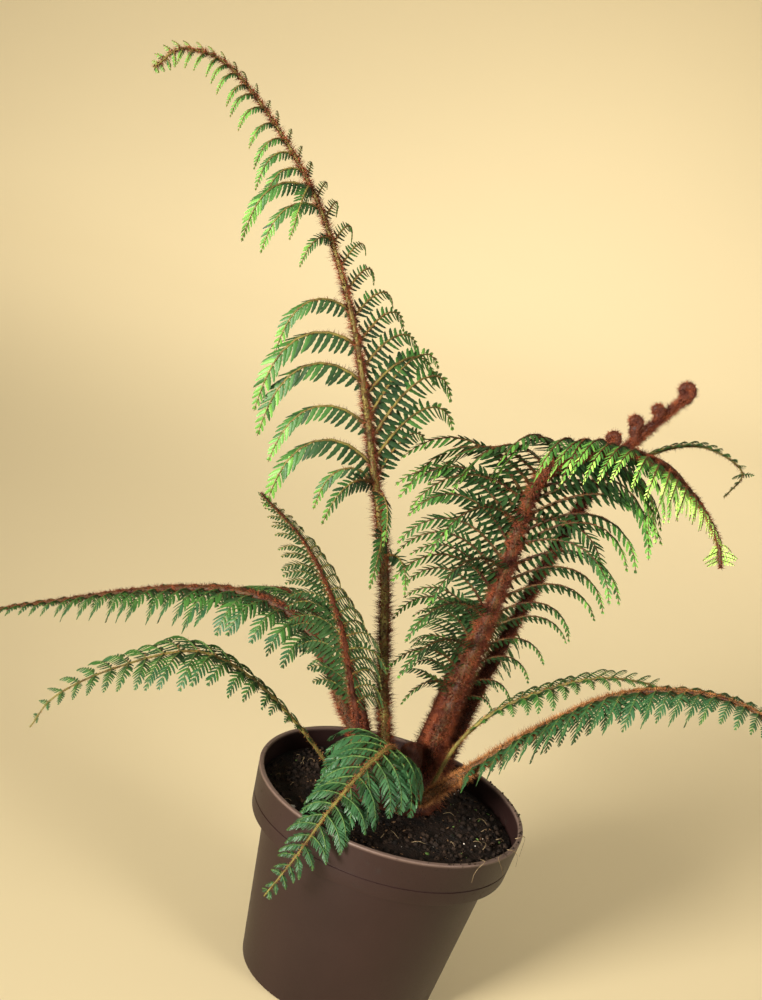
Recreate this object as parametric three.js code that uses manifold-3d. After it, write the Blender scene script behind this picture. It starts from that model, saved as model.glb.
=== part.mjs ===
// Young tree fern in a nursery pot, in millimetres, +Z up.
// The origin is the centre of the pot's flat underside.
import * as THREE from 'three';
import { mergeVertices } from 'three/addons/utils/BufferGeometryUtils.js';
import Module from 'manifold-3d';

const wasm = await Module();
wasm.setup();

// ---------- driving sizes ----------
const gap = 0.3;                 // clearance between neighbouring pieces
const pot = {
  height: 146, baseRadius: 69, neckRadius: 82.5, collarRadius: 92, rimRadius: 95,
  wall: 1.6, floor: 2, lip: 3.4, lipHeight: 3, collarHeight: 32.5, grooveAbove: 10, groove: 0.6,
  holes: 6, holeRadius: 5, holeRing: 50, segments: 32,
};
const soil = { top: 134, swell: 4, spread: 0.4, shoulder: 55 };
const crownBase = { centre: [-4, 18], radius: 36, height: 30, segments: 18 };
const stub = { foot: [6, 8, 150], tip: [2, -2, 184], footRadius: 10, tipRadius: 8 };
const bladeThickness = 1.6;
const faceBack = 0.6;            // how far the upper face leans back at the foot, for 1 of rise
const longPinna = 75;            // a pinna longer than this takes one more step
const stiffPinna = 36;           // pinnae shorter than this sag less
const notchShare = 0.4;          // length of a strip's notch, in shares of its two pinnae together
const stripStep = 3;             // least distance between two sections of a strip

// Each frond: a path from its foot to its tip; the compass heading that its upper face leans
// away from, how far that turns, and how far the face leans back at the tip; stipe radii; where
// the leafy part begins and how its pinnae run (pairs, longest length, share of it at the first
// pair, where it peaks, angle to the rachis at the foot and at the tip, sag); the pieces it is
// split into and where each ends; where the pinnae begin to stand so close that they are one
// strip; and how many of the lowest pairs are pieces of their own. Sides scales the pinnae of
// the left and of the right.
const fronds = [
  { name: 'big_frond', heading: -88, turn: 40, tipBack: 0.6,
    path: [[18, 20, 148], [20, 22, 205], [25, 25, 262], [28, 27, 320], [28, 25, 372], [37, 5, 402],
      [60, -22, 425], [85, -50, 437], [115, -72, 430], [138, -86, 413], [147, -93, 395]],
    radii: [9, 1.2], leafFrom: 0.13, pairs: 23, crowd: 1.55, pinna: 112, first: 0.5, peak: 0.3,
    angle: [50, 78], sag: 2.4, pieces: { stipe: 0.13, stem: 0.58, arch: 0.8, tip: 1 },
    sides: [1, 1], stripFrom: 0.72, separate: 8 },
  { name: 'tall_frond', heading: 85, turn: 85, tipBack: 0.6,
    path: [[-8, 22, 150], [-28, 30, 205], [-52, 40, 285], [-80, 48, 350], [-125, 60, 445],
      [-177, 67, 520], [-242, 60, 577], [-278, 45, 585], [-293, 35, 568]],
    radii: [6, 0.9], leafFrom: 0.36, pairs: 23, crowd: 1.8, pinna: 96, first: 0.95, peak: 0.12,
    angle: [46, 62], sag: 2.9, pieces: { stipe: 0.36, lower_blade: 0.58, upper_blade: 0.78, arch: 1 },
    sides: [0.92, 1.2], stripFrom: 0.74, separate: 0 },
  { name: 'young_frond', heading: -60, turn: 0, tipBack: 0.6,
    path: [[28, 42, 148], [35, 46, 217], [47, 52, 282], [57, 57, 335], [70, 65, 387], [87, 70, 422],
      [108, 76, 455]],
    radii: [7, 3.2], leafFrom: 1, pairs: 0, pieces: { stipe: 1 },
    sides: [1, 1], stripFrom: 1, separate: 0 },
  { name: 'young_frond_pinna', heading: -20, turn: -30, tipBack: 0.6,
    path: [[87, 66, 403], [106, 64, 421], [127, 60, 431], [147, 56, 430], [160, 54, 422], [153, 52, 404]],
    radii: [1.8, 0.6], leafFrom: 0.02, pairs: 9, crowd: 1.1, pinna: 17, first: 0.7, peak: 0.3,
    angle: [75, 75], sag: 2, pieces: { blade: 1 }, sides: [1, 1], stripFrom: 0.02, separate: 0 },
  { name: 'left_frond', heading: 165, turn: 0, tipBack: -0.8,
    path: [[-15, 20, 148], [-47, 25, 180], [-72, 30, 212], [-105, 40, 232], [-150, 55, 230],
      [-212, 72, 205], [-280, 90, 167], [-328, 101, 139], [-342, 105, 120]],
    radii: [7, 0.9], leafFrom: 0.28, pairs: 20, crowd: 1.15, pinna: 50, first: 0.75, peak: 0.25,
    angle: [70, 70], sag: 2.0, pieces: { stipe: 0.28, inner_blade: 0.5, outer_blade: 0.85, tip: 1 },
    sides: [1, 1], stripFrom: 0.28, separate: 0 },
  { name: 'right_frond', heading: -25, turn: 0, tipBack: -0.8,
    path: [[20, -7, 148], [47, -15, 187], [70, -22, 220], [90, -32, 247], [115, -45, 277],
      [145, -57, 297], [178, -74, 310], [206, -83, 309], [222, -88, 293], [226, -92, 271]],
    radii: [5.5, 0.9], leafFrom: 0.2, pairs: 20, crowd: 1.25, pinna: 48, first: 0.6, peak: 0.35,
    angle: [68, 68], sag: 1.8, pieces: { stipe: 0.2, inner_blade: 0.5, outer_blade: 0.8, tip: 1 },
    sides: [1, 1], stripFrom: 0.2, separate: 0 },
  { name: 'upright_frond', heading: -110, turn: 0, tipBack: 0.6,
    path: [[-20, 8, 148], [-47, 5, 207], [-70, -12, 262], [-102, -35, 310], [-137, -60, 342]],
    radii: [4.5, 0.8], leafFrom: 0.26, pairs: 12, crowd: 1.3, pinna: 50, first: 0.8, peak: 0.25,
    angle: [64, 64], sag: 1.6, pieces: { stipe: 0.26, blade: 1 },
    sides: [1, 1], stripFrom: 0.45, separate: 0 },
  { name: 'low_left_frond', heading: 205, turn: 0, tipBack: -0.8,
    path: [[-42, 30, 130], [-75, 22, 160], [-120, 7, 192], [-160, -7, 202], [-205, -30, 182],
      [-235, -49, 158], [-245, -57, 134]],
    radii: [2.2, 0.7], leafFrom: 0.15, pairs: 16, crowd: 1, pinna: 42, first: 0.25, peak: 0.5,
    angle: [70, 70], sag: 1.8, pieces: { stipe: 0.15, inner_blade: 0.5, outer_blade: 0.8, tip: 1 },
    sides: [1, 1], stripFrom: 0.15, separate: 0 },
  { name: 'front_frond', heading: 240, turn: 0, tipBack: -0.8,
    path: [[-2, 0, 148], [-8, -22, 186], [-18, -50, 186], [-34, -82, 160], [-46, -104, 130],
      [-58, -112, 100]],
    radii: [3, 0.7], leafFrom: 0.22, pairs: 11, crowd: 1.1, pinna: 54, first: 1, peak: 0.1,
    angle: [66, 66], sag: 1.6, pieces: { stipe: 0.22, upper_blade: 0.55, hanging_blade: 1 },
    sides: [1, 1], stripFrom: 0.22, separate: 0 },
  { name: 'low_right_frond', heading: -10, turn: 0, tipBack: 0.6,
    path: [[24, 12, 148], [33, 8, 192], [52, 6, 225], [80, 4, 252], [110, 0, 272], [142, -4, 280],
      [170, -8, 277]],
    radii: [2.4, 0.7], leafFrom: 0.42, pairs: 10, crowd: 1.1, pinna: 30, first: 0.6, peak: 0.3,
    angle: [68, 68], sag: 1.6, pieces: { stipe: 0.42, blade: 1 },
    sides: [1, 1], stripFrom: 0.42, separate: 0 },
  { name: 'back_frond', heading: 85, turn: 0, tipBack: -0.8,
    path: [[6, 34, 148], [12, 75, 190], [16, 125, 222], [22, 190, 230], [28, 250, 205], [32, 280, 172]],
    radii: [4.5, 0.8], leafFrom: 0.26, pairs: 13, crowd: 1.2, pinna: 56, first: 0.7, peak: 0.3,
    angle: [66, 66], sag: 1.8, pieces: { stipe: 0.26, inner_blade: 0.6, outer_blade: 1 },
    sides: [1, 1], stripFrom: 0.26, separate: 0 },
  { name: 'back_left_frond', heading: 125, turn: 0, tipBack: -0.8,
    path: [[-20, 34, 148], [-46, 72, 180], [-80, 118, 200], [-125, 172, 200], [-165, 218, 172],
      [-180, 236, 148]],
    radii: [4, 0.8], leafFrom: 0.26, pairs: 13, crowd: 1.2, pinna: 46, first: 0.7, peak: 0.3,
    angle: [66, 66], sag: 1.8, pieces: { stipe: 0.26, inner_blade: 0.6, outer_blade: 1 },
    sides: [1, 1], stripFrom: 0.26, separate: 0 },
];

// The coiled tip and the coiled side buds of the young frond.
const coilAxis = [0.2, -1, 0.1];
const coils = [
  { name: 'young_frond_coil', centre: [108, 76, 462], axis: coilAxis, radius: 7.5, thickness: 9 },
  { name: 'young_frond_bud_1', centre: [70, 66, 417], axis: coilAxis, radius: 6.5, thickness: 7 },
  { name: 'young_frond_bud_2', centre: [81, 68, 432], axis: coilAxis, radius: 6, thickness: 7 },
  { name: 'young_frond_bud_3', centre: [93, 70, 444], axis: coilAxis, radius: 5.5, thickness: 6 },
];

// ---------- materials ----------
const shade = (color, roughness) => new THREE.MeshStandardMaterial({ color, roughness, metalness: 0 });
const potBrown = () => shade(0x6b4c42, 0.55);
const soilBlack = () => shade(0x17100b, 0.95);
const hairBrown = () => shade(0x5a2412, 0.9);
const leafGreen = () => shade(0x3f7a3c, 0.6);

// ---------- solids ----------
// How a loft's faces are split: turned names the sides of a ring whose four-cornered faces take
// their other diagonal, and cap the triangles that close an end, which is a fan if there are none.
// A blade's section has eight points, and is split alike above and below.
const plainFaces = { turned: [], cap: null };
const bladeFaces = {
  turned: [2, 3, 6, 7],
  cap: [[1, 2, 3], [0, 1, 3], [0, 3, 4], [0, 4, 5], [0, 5, 7], [5, 6, 7]],
};

// A closed loft through rings that all have the same number of points.
function loft(rings, { turned, cap } = plainFaces) {
  const count = rings[0].length;
  const triangles = [];
  const corner = (i, j) => rings[i][(j + count) % count];
  for (let i = 0; i + 1 < rings.length; i += 1) {
    for (let j = 0; j < count; j += 1) {
      const [a, b, c, d] = [corner(i, j), corner(i, j + 1), corner(i + 1, j + 1), corner(i + 1, j)];
      if (turned.includes(j)) triangles.push([a, b, d], [b, c, d]);
      else triangles.push([a, b, c], [a, c, d]);
    }
  }
  const last = rings.length - 1;
  for (const [a, b, c] of cap ?? Array.from({ length: count - 2 }, (_, j) => [0, j + 1, j + 2])) {
    triangles.push([corner(0, a), corner(0, c), corner(0, b)]);
    triangles.push([corner(last, a), corner(last, b), corner(last, c)]);
  }
  const volume = triangles.reduce((sum, [a, b, c]) => sum + a.dot(b.clone().cross(c)), 0);
  const positions = triangles.flatMap(([a, b, c]) => (volume > 0 ? [a, b, c] : [a, c, b]))
    .flatMap((point) => point.toArray());
  const geometry = new THREE.BufferGeometry();
  geometry.setAttribute('position', new THREE.Float32BufferAttribute(positions, 3));
  return geometry;
}

function toSolid(geometry) {
  const plain = new THREE.BufferGeometry();
  plain.setAttribute('position', geometry.getAttribute('position').clone());
  if (geometry.index) plain.setIndex(geometry.index.clone());
  const merged = mergeVertices(plain, 1e-3);
  return new wasm.Manifold(new wasm.Mesh({
    numProp: 3,
    vertProperties: new Float32Array(merged.getAttribute('position').array),
    triVerts: new Uint32Array(merged.index.array),
  }));
}

function joined(solids) {
  return solids.reduce((whole, piece) => whole.add(piece));
}

function toGeometry(solid) {
  const { vertProperties, triVerts } = solid.getMesh();
  const geometry = new THREE.BufferGeometry();
  geometry.setAttribute('position', new THREE.Float32BufferAttribute(vertProperties, 3));
  geometry.setIndex([...triVerts]);
  return geometry;
}

// The largest connected piece of a geometry; crumbs left by a cut are dropped.
function largestPiece(geometry) {
  const points = geometry.getAttribute('position');
  const index = geometry.getIndex().array;
  const owner = Array.from({ length: points.count }, (_, i) => i);
  const find = (i) => {
    let root = i;
    while (owner[root] !== root) root = owner[root];
    owner[i] = root;
    return root;
  };
  for (let i = 0; i < index.length; i += 3) {
    owner[find(index[i + 1])] = find(index[i]);
    owner[find(index[i + 2])] = find(index[i]);
  }
  const pieces = new Map();
  for (let i = 0; i < index.length; i += 3) {
    const root = find(index[i]);
    const piece = pieces.get(root) ?? { triangles: [], volume: 0 };
    const [a, b, c] = [0, 1, 2].map((k) => new THREE.Vector3().fromBufferAttribute(points, index[i + k]));
    piece.triangles.push(index[i], index[i + 1], index[i + 2]);
    piece.volume += a.dot(b.cross(c));
    pieces.set(root, piece);
  }
  const best = [...pieces.values()].reduce((a, b) => (b.volume > a.volume ? b : a));
  geometry.setIndex(best.triangles);
  return geometry;
}

// ---------- nodes ----------
const group = new THREE.Group();
const placed = [];

// Adds a node: the body less all that is already there, each taken grown by the clearance.
function place(name, material, body, grown) {
  const box = new THREE.Box3().setFromBufferAttribute(toGeometry(grown).getAttribute('position'));
  const solid = placed.filter((piece) => piece.box.intersectsBox(box))
    .reduce((rest, piece) => rest.subtract(piece.grown).subtract(piece.body), body);
  const geometry = largestPiece(toGeometry(solid));
  const mesh = new THREE.Mesh(geometry, material);
  mesh.name = name;
  group.add(mesh);
  placed.push({ body, grown, box });
}

// ---------- pot and soil ----------
const arc = Math.PI * 2;
const lathe = (profile, segments) => {
  const points = profile.map(([radius, height]) => new THREE.Vector2(radius, height));
  const geometry = new THREE.LatheGeometry(points, segments);
  geometry.rotateX(Math.PI / 2);
  return toSolid(geometry);
};

function wallRadius(height) {
  const share = height / (pot.height - pot.collarHeight);
  return pot.baseRadius + (pot.neckRadius - pot.baseRadius) * share;
}

function makePot() {
  const collarFoot = pot.height - pot.collarHeight;
  const grooveHeight = collarFoot + pot.grooveAbove;
  const collarAt = (height) => pot.collarRadius
    + ((pot.rimRadius - pot.collarRadius) * (height - collarFoot)) / pot.collarHeight;
  const shell = lathe([
    [0, 0],
    [pot.baseRadius - 2, 0],
    [pot.baseRadius, 2],
    [pot.neckRadius, collarFoot],
    [pot.collarRadius, collarFoot],
    [collarAt(grooveHeight), grooveHeight],
    [collarAt(grooveHeight) - pot.groove, grooveHeight + pot.groove],
    [collarAt(grooveHeight + 2 * pot.groove), grooveHeight + 2 * pot.groove],
    [pot.rimRadius, pot.height - 1],
    [pot.rimRadius - 1, pot.height],
    [pot.rimRadius - pot.lip, pot.height],
    [pot.rimRadius - pot.lip, pot.height - pot.lipHeight],
    [collarAt(collarFoot) - pot.wall, collarFoot + pot.wall],
    [pot.neckRadius - pot.wall, collarFoot + pot.wall],
    [wallRadius(pot.floor) - pot.wall, pot.floor],
    [0, pot.floor],
  ], pot.segments);
  const drill = (i) => {
    const hole = new THREE.CylinderGeometry(pot.holeRadius, pot.holeRadius, 3 * pot.floor, 6);
    hole.rotateX(Math.PI / 2);
    const turn = (i / pot.holes) * arc;
    hole.translate(pot.holeRing * Math.cos(turn), pot.holeRing * Math.sin(turn), pot.floor / 2);
    return toSolid(hole);
  };
  const holes = Array.from({ length: pot.holes }, (_, i) => drill(i));
  return holes.reduce((body, hole) => body.subtract(hole), shell);
}

// The soil fills the pot to a little below the lip, with a slightly domed top.
function makeSoil(extra) {
  const collarFoot = pot.height - pot.collarHeight;
  const inside = pot.wall + gap;
  return lathe([
    [0, pot.floor + gap],
    [wallRadius(pot.floor) - inside, pot.floor + gap],
    [pot.neckRadius - inside, collarFoot + inside],
    [pot.collarRadius - inside, collarFoot + inside],
    [pot.collarRadius - inside + soil.spread, soil.top - soil.swell + extra],
    [soil.shoulder, soil.top + extra],
    [0, soil.top + 1 + extra],
  ], pot.segments);
}

// A dome on the soil, out of which the stipes rise, with knobs where old fronds were.
function makeCrownBase(extra) {
  const { centre, radius, height, segments } = crownBase;
  const levels = [[1, 0], [1, 0.3], [0.85, 0.62], [0.55, 0.9], [0.2, 1]];
  const rings = levels.map(([wide, high]) => Array.from({ length: segments }, (_, j) => {
    const turn = (j / segments) * arc;
    const knob = 1 + 0.09 * Math.cos(5 * turn + 4 * high);
    const reach = radius * wide * knob + extra;
    return new THREE.Vector3(
      centre[0] + reach * Math.cos(turn),
      centre[1] + 0.85 * reach * Math.sin(turn),
      soil.top + 1 + gap + height * high + (high > 0 ? extra : -extra),
    );
  }));
  return toSolid(loft(rings));
}

// The dark, rounded foot of an old frond that was cut off.
function makeStub(extra) {
  const foot = new THREE.Vector3(...stub.foot);
  const tip = new THREE.Vector3(...stub.tip);
  const across = new THREE.Vector3(1, 0, 0);
  const other = tip.clone().sub(foot).normalize().cross(across);
  const rings = [[0, 1], [0.55, 1], [0.85, 0.8], [1, 0.35]].map(([t, wide]) => {
    const radius = (stub.footRadius + (stub.tipRadius - stub.footRadius) * t) * wide + extra;
    const centre = foot.clone().lerp(tip, t);
    return Array.from({ length: 8 }, (_, j) => centre.clone()
      .addScaledVector(across, radius * Math.cos((j / 8) * arc))
      .addScaledVector(other, radius * Math.sin((j / 8) * arc)));
  });
  return toSolid(loft(rings));
}

// ---------- fronds ----------
const up = new THREE.Vector3(0, 0, 1);

// The frond's own axes at a share s of its length: along it, across its blade, and square
// to the blade on its upper face.
function frondFrame(frond, s) {
  const at = frond.curve.getPointAt(s);
  const along = frond.curve.getTangentAt(s);
  const angle = THREE.MathUtils.degToRad(frond.heading + frond.turn * s ** 3);
  const back = faceBack + (frond.tipBack - faceBack) * s ** 3;
  const face = new THREE.Vector3(-back * Math.cos(angle), -back * Math.sin(angle), 1);
  const side = along.clone().cross(face).normalize();
  const normal = side.clone().cross(along);
  return { at, along, side, normal };
}

const stipeRadius = (frond, s) => frond.radii[1] + (frond.radii[0] - frond.radii[1]) * (1 - s) ** 1.3;

// Where pinna i leaves the rachis, and how long it is.
function pinnaPlace(frond, i) {
  const u = (i + 0.5) / frond.pairs;
  const s = frond.leafFrom + (0.99 - frond.leafFrom) * (1 - (1 - u) ** frond.crowd);
  const quarter = Math.PI / 2;
  const share = u < frond.peak
    ? frond.first + (1 - frond.first) * Math.sin((u / frond.peak) * quarter)
    : 0.08 + 0.92 * Math.cos(((u - frond.peak) / (1 - frond.peak)) * quarter) ** 1.3;
  return { s, length: frond.pinna * share };
}

// A limb: a tapering tube along part of the frond's path.
function makeLimb(frond, from, to, extra) {
  const steps = Math.max(2, Math.round(((to - from) * frond.curve.getLength()) / 28));
  const sides = frond.radii[0] > 5 ? 7 : 5;
  const rings = Array.from({ length: steps + 1 }, (_, i) => {
    const s = from + ((to - from) * i) / steps;
    const { at, side, normal } = frondFrame(frond, s);
    const radius = stipeRadius(frond, s) + extra;
    return Array.from({ length: sides }, (__, j) => at.clone()
      .addScaledVector(side, radius * Math.cos((j / sides) * arc))
      .addScaledVector(normal, radius * Math.sin((j / sides) * arc)));
  });
  return toSolid(loft(rings));
}

// The line of a pinna that leaves the rachis at s and sags to its tip, in equal steps, each
// with the way across the pinna and the way up from its blade. Hand is 1 or -1: the pinna
// lies on the right or the left of someone who looks along the frond from its upper face.
function pinnaLine(frond, s, share, hand, steps) {
  const { at, along, side, normal } = frondFrame(frond, s);
  const length = share * frond.sides[hand < 0 ? 0 : 1];
  const sag = frond.sag * Math.min(1, length / stiffPinna) ** 1.5;
  const angle = THREE.MathUtils.degToRad(frond.angle[0] + (frond.angle[1] - frond.angle[0]) * s);
  const heading = along.multiplyScalar(Math.cos(angle)).addScaledVector(side, hand * Math.sin(angle));
  const across = heading.clone().cross(normal).multiplyScalar(hand);
  return Array.from({ length: steps + 1 }, (_, k) => {
    across.addScaledVector(heading, -across.dot(heading)).normalize();
    const lift = across.clone().cross(heading).multiplyScalar(hand);
    const station = { at: at.clone(), across: across.clone(), lift };
    for (let m = 0; m < 4; m += 1) {
      const t = (k + m / 4) / steps;
      heading.addScaledVector(up, (-sag * (0.4 + 1.2 * t)) / (4 * steps)).normalize();
      at.addScaledVector(heading, length / (4 * steps));
    }
    return station;
  });
}

// A pinna: a thin leaf-shaped blade, flat below and ridged above.
function makePinna(frond, i, hand, extra) {
  const { s, length } = pinnaPlace(frond, i);
  const steps = length > longPinna ? 4 : 3;
  const half = 3 + length * 0.08;
  return toSolid(loft(pinnaLine(frond, s, length, hand, steps).map(({ at, across, lift }, k) => {
    const t = k / steps;
    const thick = (bladeThickness * (1 - 0.4 * t)) / 2 + extra;
    const leaf = half * Math.max(0.08, Math.sin(Math.PI * (0.14 + 0.84 * t) ** 0.8));
    const width = leaf * (1 + extra / thick) + extra;
    return [
      at.clone().addScaledVector(across, -width).addScaledVector(lift, -thick),
      at.clone().addScaledVector(across, width).addScaledVector(lift, -thick),
      at.clone().addScaledVector(lift, thick),
    ];
  })));
}

// How far a strip reaches from its rachis at a share s of the frond, between its teeth.
function notchLength(frond, s) {
  const next = Array.from({ length: frond.pairs }, (_, i) => i).find((i) => pinnaPlace(frond, i).s > s);
  if (!next) return 2;
  return (pinnaPlace(frond, next - 1).length + pinnaPlace(frond, next).length) * notchShare;
}

// A stretch of blade whose pinnae stand close: one toothed strip over its rachis, with a
// tooth for each pair of pinnae, joined from slices between one section and the next.
function makeStrip(frond, from, to, extra) {
  const pinnae = Array.from({ length: frond.pairs }, (_, i) => pinnaPlace(frond, i));
  const notches = pinnae.slice(1).map((pinna, i) => (pinna.s + pinnae[i].s) / 2)
    .map((s) => ({ s, length: notchLength(frond, s) }));
  const least = stripStep / frond.curve.getLength();
  const inner = [...pinnae, ...notches].filter(({ s }) => s > from + least && s < to - least)
    .sort((a, b) => a.s - b.s)
    .filter(({ s }, i, all) => i === 0 || s - all[i - 1].s > least);
  const ends = [from, to].map((s) => ({ s, length: notchLength(frond, s) }));
  const thick = bladeThickness / 2 + extra;
  const sections = [ends[0], ...inner, ends[1]].map(({ s, length }) => {
    const { at, normal } = frondFrame(frond, s);
    const rachis = Math.max(stipeRadius(frond, s), thick) + extra;
    const reach = length * (1 + extra / 4) + extra;
    const [left, right] = [-1, 1].map((hand) => pinnaLine(frond, s, reach, hand, 2));
    return [
      at.clone().addScaledVector(normal, rachis),
      left[1].at.clone().addScaledVector(left[1].lift, thick),
      left[2].at,
      left[1].at.clone().addScaledVector(left[1].lift, -thick),
      at.clone().addScaledVector(normal, -rachis),
      right[1].at.clone().addScaledVector(right[1].lift, -thick),
      right[2].at,
      right[1].at.clone().addScaledVector(right[1].lift, thick),
    ];
  });
  return joined(sections.slice(1).map((next, i) => toSolid(loft([sections[i], next], bladeFaces))));
}

// One stretch of a frond: its rachis with parted pinnae, then a toothed strip where the
// pinnae stand close.
function makeStretch(frond, from, to, extra) {
  const stripFrom = THREE.MathUtils.clamp(frond.stripFrom, from, to);
  const pieces = [];
  if (stripFrom < to) pieces.push(makeStrip(frond, stripFrom, to, extra));
  if (from < stripFrom) pieces.push(makeLimb(frond, from, Math.min(to, stripFrom + 0.005), extra));
  for (let i = frond.separate; i < frond.pairs; i += 1) {
    const { s } = pinnaPlace(frond, i);
    const parted = s > from && s < Math.min(to, frond.stripFrom);
    if (parted) pieces.push(makePinna(frond, i, 1, extra), makePinna(frond, i, -1, extra));
  }
  return joined(pieces);
}

function addNode(name, material, make) {
  place(name, material, make(0), make(gap));
}

function addFrond(frond) {
  frond.curve = new THREE.CatmullRomCurve3(
    frond.path.map((point) => new THREE.Vector3(...point)), false, 'catmullrom', 0.5);
  frond.curve.arcLengthDivisions = 400;
  const endGap = gap / frond.curve.getLength();
  let from = 0;
  for (const [word, to] of Object.entries(frond.pieces)) {
    const material = word === 'stipe' || word === 'stem' ? hairBrown() : leafGreen();
    const start = from;
    addNode(`${frond.name}_${word}`, material, (extra) => makeStretch(frond, start, to - endGap, extra));
    from = to;
  }
  for (let i = 0; i < frond.separate; i += 1) {
    for (const [word, hand] of Object.entries({ left: -1, right: 1 })) {
      const name = `${frond.name}_${word}_pinna_${i + 1}`;
      addNode(name, leafGreen(), (extra) => makePinna(frond, i, hand, extra));
    }
  }
}

// A coil of a young frond: a bun whose axis lies across the coil.
function makeCoil({ centre, axis, radius, thickness }, extra) {
  const direction = new THREE.Vector3(...axis).normalize();
  const turn = new THREE.Quaternion().setFromUnitVectors(up, direction);
  const rings = [[-1, 0.55], [-0.5, 0.95], [0.5, 0.95], [1, 0.55]].map(([high, wide]) => (
    Array.from({ length: 9 }, (_, j) => {
      const reach = radius * wide + extra;
      const angle = (j / 9) * arc;
      const height = (high * thickness) / 2 + Math.sign(high) * extra;
      return new THREE.Vector3(reach * Math.cos(angle), reach * Math.sin(angle), height)
        .applyQuaternion(turn).add(new THREE.Vector3(...centre));
    })));
  return toSolid(loft(rings));
}

const thePot = makePot();
place('pot', potBrown(), thePot, thePot);
place('soil', soilBlack(), makeSoil(0), makeSoil(gap));
addNode('crown_base', hairBrown(), makeCrownBase);
addNode('old_stipe_stub', hairBrown(), makeStub);
fronds.forEach(addFrond);
coils.forEach((coil) => addNode(coil.name, hairBrown(), (extra) => makeCoil(coil, extra)));

export default group;
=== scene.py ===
import math

import bmesh
import bpy
import numpy as np
from mathutils import Matrix, Vector, noise


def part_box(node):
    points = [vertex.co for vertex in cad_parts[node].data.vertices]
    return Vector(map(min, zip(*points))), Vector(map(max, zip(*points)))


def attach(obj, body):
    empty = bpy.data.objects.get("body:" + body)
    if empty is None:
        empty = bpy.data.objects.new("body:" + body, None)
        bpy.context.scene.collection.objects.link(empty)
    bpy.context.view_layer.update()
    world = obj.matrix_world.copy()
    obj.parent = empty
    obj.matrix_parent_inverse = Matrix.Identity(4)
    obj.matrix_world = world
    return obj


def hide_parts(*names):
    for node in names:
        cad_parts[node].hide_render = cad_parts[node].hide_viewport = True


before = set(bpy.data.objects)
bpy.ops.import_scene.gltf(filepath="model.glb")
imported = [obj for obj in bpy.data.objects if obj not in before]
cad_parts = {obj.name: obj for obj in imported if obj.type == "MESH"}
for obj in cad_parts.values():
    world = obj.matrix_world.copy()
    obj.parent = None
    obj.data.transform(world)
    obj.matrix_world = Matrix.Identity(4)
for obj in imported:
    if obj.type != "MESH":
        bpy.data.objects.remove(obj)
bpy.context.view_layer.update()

dice = np.random.default_rng(407)  # every random draw comes from here, so each run is the same
upwards = np.array([0.0, 0.0, 1.0])


class Wire:  # an outlet of a shader node, on which sums can be written
    def __init__(self, finish, outlet):
        self.finish, self.outlet = finish, outlet

    def __add__(self, other):
        return self.finish.sum("ADD", self, other)

    def __radd__(self, other):
        return self.finish.sum("ADD", other, self)

    def __mul__(self, other):
        return self.finish.sum("MULTIPLY", self, other)

    def __rmul__(self, other):
        return self.finish.sum("MULTIPLY", other, self)


class Finish:  # a material with one Principled shader, whose constants sit on its own sockets
    def __init__(self, name, constants):
        self.material = bpy.data.materials.new(name)
        self.material.use_nodes = True
        self.tree = self.material.node_tree
        self.shader = self.tree.nodes["Principled BSDF"]
        for socket, value in constants.items():
            self.shader.inputs[socket].default_value = value
        self.place = self.node("ShaderNodeTexCoord", {}, {}, "Object")

    def node(self, kind, settings, inputs, outlet=0):
        made = self.tree.nodes.new(kind)
        for key, value in settings.items():
            setattr(made, key, value)
        for key, value in inputs.items():
            if isinstance(value, Wire):
                self.tree.links.new(value.outlet, made.inputs[key])
            else:
                made.inputs[key].default_value = value
        return Wire(self, made.outputs[outlet])

    def sum(self, operation, a, b):
        return self.node("ShaderNodeMath", {"operation": operation}, {0: a, 1: b})

    def speckle(self, scale, detail, stretch=(1, 1, 1)):  # a noise from 0 to 1 on the piece's own place
        spread = self.node("ShaderNodeMapping", {}, {"Vector": self.place, "Scale": stretch})
        return self.node("ShaderNodeTexNoise", {}, {"Vector": spread, "Scale": scale, "Detail": detail})

    def between(self, wire, low, high):  # 0 below low, 1 above high
        return self.node("ShaderNodeMapRange", {"clamp": True}, {0: wire, 1: low, 2: high})

    def blend(self, share, first, second):
        first, second = [c if isinstance(c, Wire) else (*c, 1) for c in (first, second)]
        factor, a, b, mixed = 0, 6, 7, 2  # the sockets of the node when it mixes colours
        inputs = {factor: share, a: first, b: second}
        return self.node("ShaderNodeMix", {"data_type": "RGBA"}, inputs, mixed)

    def feed(self, socket, wire):
        self.tree.links.new(wire.outlet, self.shader.inputs[socket])

    def relief(self, height, strength, depth):
        self.feed("Normal", self.node("ShaderNodeBump", {}, {
            "Height": height, "Strength": strength, "Distance": depth}))


def leafFinish(name, dark, light, gloss):
    finish = Finish(name, {"Specular IOR Level": 0.32})
    patches = finish.speckle(scale=95, detail=3)
    grain = finish.speckle(scale=900, detail=2)
    finish.feed("Base Color", finish.blend(finish.between(patches, 0.3, 0.7), dark, light))
    finish.feed("Roughness", gloss - 0.08 + 0.2 * grain)
    finish.relief(grain + 0.6 * patches, strength=0.35, depth=0.0006)
    return finish.material


def stalkFinish(name, dark, light, streak):
    finish = Finish(name, {"Specular IOR Level": 0.22})
    fibres = finish.speckle(scale=420, detail=4, stretch=(1, 1, streak))
    patches = finish.speckle(scale=60, detail=3)
    share = finish.between(fibres * 0.5 + patches * 0.5, 0.38, 0.6)
    finish.feed("Base Color", finish.blend(share, dark, light))
    finish.feed("Roughness", 0.45 + 0.3 * fibres)
    finish.relief(fibres, strength=0.6, depth=0.0008)
    return finish.material


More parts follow.
